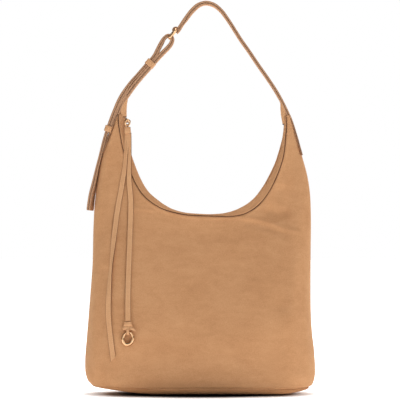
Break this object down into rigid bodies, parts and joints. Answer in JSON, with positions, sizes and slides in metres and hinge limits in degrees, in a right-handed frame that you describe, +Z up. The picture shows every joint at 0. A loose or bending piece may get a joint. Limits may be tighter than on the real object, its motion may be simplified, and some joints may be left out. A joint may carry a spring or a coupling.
{
  "type": "hobo bag",
  "caption": "Soft suede hobo shoulder bag with a scooped zipped mouth, a buckled strap and a long lace zip pull.",
  "frame": {"origin": "under the middle of the base, on the surface that the bag stands on", "axes": "+Z up, +X to the wearer's right seen from the front, front faces -Y"},
  "size_m": [0.3308, 0.122, 0.5684],
  "materials": {
    "suede": "napped suede, matt, tan",
    "edged_leather": "smooth matt leather, painted edges",
    "lining": "plain woven cotton",
    "zip_tape": "herringbone woven tape",
    "gold_metal": "polished light gold plating",
    "stiffener": "pressed fibre board"
  },
  "bodies": {
    "bag": {"front_panel": "suede", "back_panel": "suede", "base_panel": "suede", "base_board": "stiffener", "lining_front": "lining", "lining_back": "lining", "lining_base": "lining", "slip_pocket": "lining", "zip_facing_front": "suede", "zip_facing_back": "suede", "zip_tape_front": "zip_tape", "zip_tape_back": "zip_tape", "zip_teeth_front": "gold_metal", "zip_teeth_back": "gold_metal", "zip_stop_closed": "gold_metal", "zip_stop_open": "gold_metal", "strap_tail": "suede", "keeper_lower": "edged_leather", "anchor_left_outer": "suede", "anchor_right_outer": "suede", "anchor_left_inner": "suede", "anchor_right_inner": "suede"},
    "slider": {"zip_slider": "gold_metal"},
    "pull_link": {"zip_pull_ring": "gold_metal"},
    "pull": {"pull_collar": "edged_leather", "pull_lace_long": "suede", "pull_lace_short": "suede", "pull_end_wrap": "edged_leather"},
    "end_ring": {"pull_end_ring": "gold_metal"},
    "strap": {"strap_upper": "suede", "strap_lower": "suede", "buckle_frame": "gold_metal", "buckle_prong": "gold_metal"},
    "keeper": {"keeper_upper": "edged_leather"}
  },
  "joints": [
    {"name": "zip_travel", "type": "hinge", "parent": "bag", "child": "slider", "pos_m": [0.0087, 0, 0.3777], "axis": [0, -1, 0], "range_deg": [0, 192], "deforming": ["pull_lace_long", "pull_lace_short"]},
    {"name": "pull_turn", "type": "hinge", "parent": "slider", "child": "pull_link", "pos_m": [-0.10296, 0, 0.39439], "axis": [0, -1, 0], "range_deg": [-192, 0]},
    {"name": "pull_swing", "type": "hinge", "parent": "pull_link", "child": "pull", "pos_m": [-0.10486, -0.0142, 0.38789], "axis": [-1, 0, 0], "range_deg": [0, 70]},
    {"name": "end_ring_swing", "type": "hinge", "parent": "pull", "child": "end_ring", "pos_m": [-0.103, -0.0614, 0.0912], "axis": [-1, 0, 0], "range_deg": [0, 70]},
    {"name": "strap_fold", "type": "hinge", "parent": "bag", "child": "strap", "pos_m": [0, 0, 0.421], "axis": [1, 0, 0], "range_deg": [-90, 90]},
    {"name": "keeper_slide", "type": "slide", "parent": "strap", "child": "keeper", "axis": [-0.6581, 0, -0.7529], "range_m": [-0.003, 0.012]}
  ],
  "couplings": [
    {"joint": "pull_turn", "follows": "zip_travel", "ratio": -1}
  ]
}
